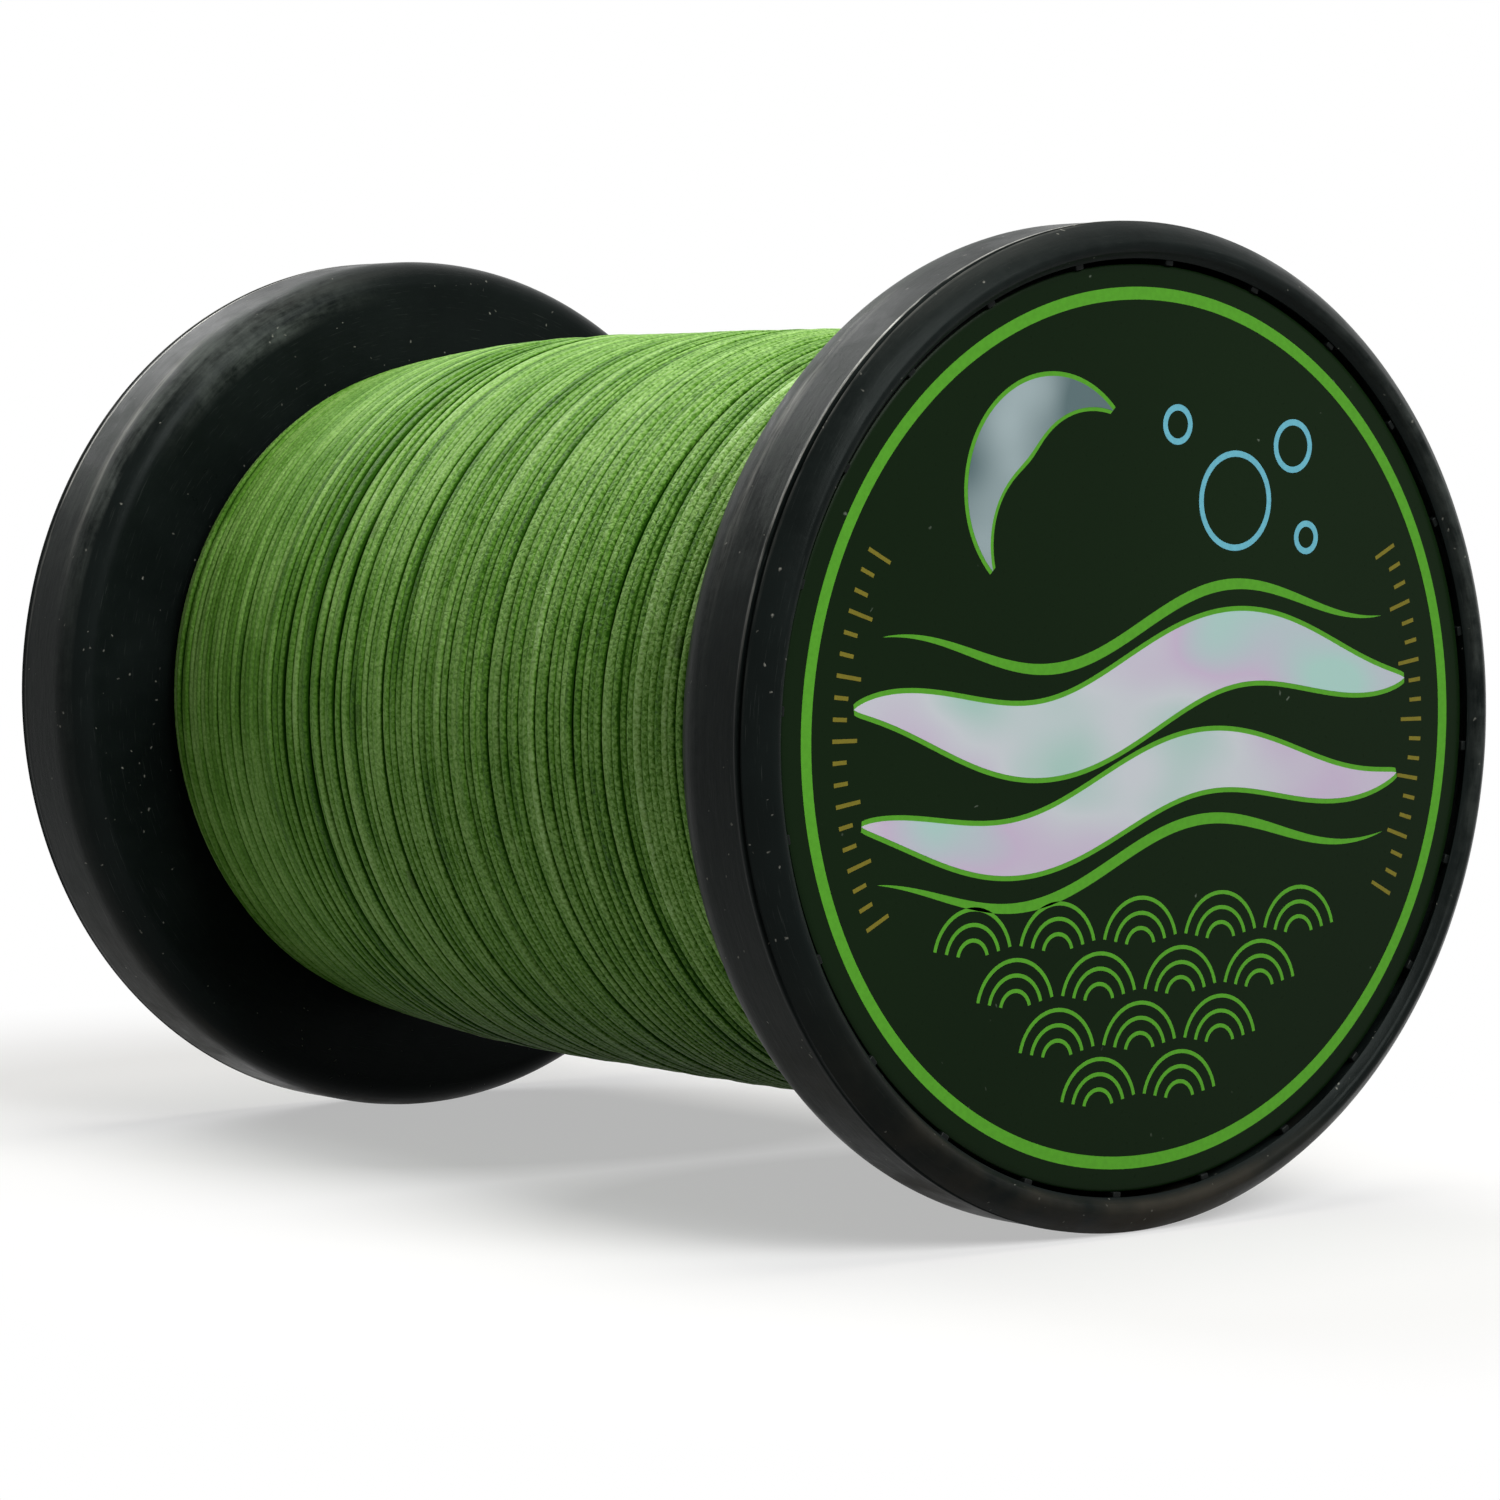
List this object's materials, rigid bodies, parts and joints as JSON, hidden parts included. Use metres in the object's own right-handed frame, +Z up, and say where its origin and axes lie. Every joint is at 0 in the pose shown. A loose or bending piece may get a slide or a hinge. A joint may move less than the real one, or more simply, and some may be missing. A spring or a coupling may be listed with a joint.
{
  "type": "fishing line spool",
  "caption": "Bulk spool with rimmed end flanges, a full winding of braided line, a spindle tube and push-fit cover discs with printed films.",
  "frame": {"origin": "on the spool's axis at mid width", "axes": "+Y along the spool's axis from the front flange to the rear one, +Z up as it lies on its rims, +X to the right seen from the front"},
  "size_m": [0.0998, 0.135, 0.0998],
  "materials": {
    "spool_plastic": "black satin-gloss injection-moulded plastic with fine handling scratches",
    "cover_plastic": "black moulded plastic",
    "barrel_plastic": "dark grey moulded plastic",
    "label_film": "printed film, near-black green ground with a bright green ring, satin gloss",
    "braided_line": "tightly wound green braided polyethylene line",
    "paper_tape": "cream crepe tape"
  },
  "bodies": {
    "spool": {"front_flange": "spool_plastic", "rear_flange": "spool_plastic", "barrel": "barrel_plastic", "spindle_tube": "barrel_plastic", "line_core": "braided_line", "line_outer_turns": "braided_line", "anchor_tape": "paper_tape"},
    "front_disc": {"front_cover": "cover_plastic", "front_label": "label_film"},
    "rear_disc": {"rear_cover": "cover_plastic", "rear_label": "label_film"}
  },
  "joints": [
    {"name": "front_cover_pull", "type": "slide", "parent": "spool", "child": "front_disc", "axis": [0, -1, 0], "range_m": [0, 0.04]},
    {"name": "rear_cover_pull", "type": "slide", "parent": "spool", "child": "rear_disc", "axis": [0, 1, 0], "range_m": [0, 0.04]}
  ]
}
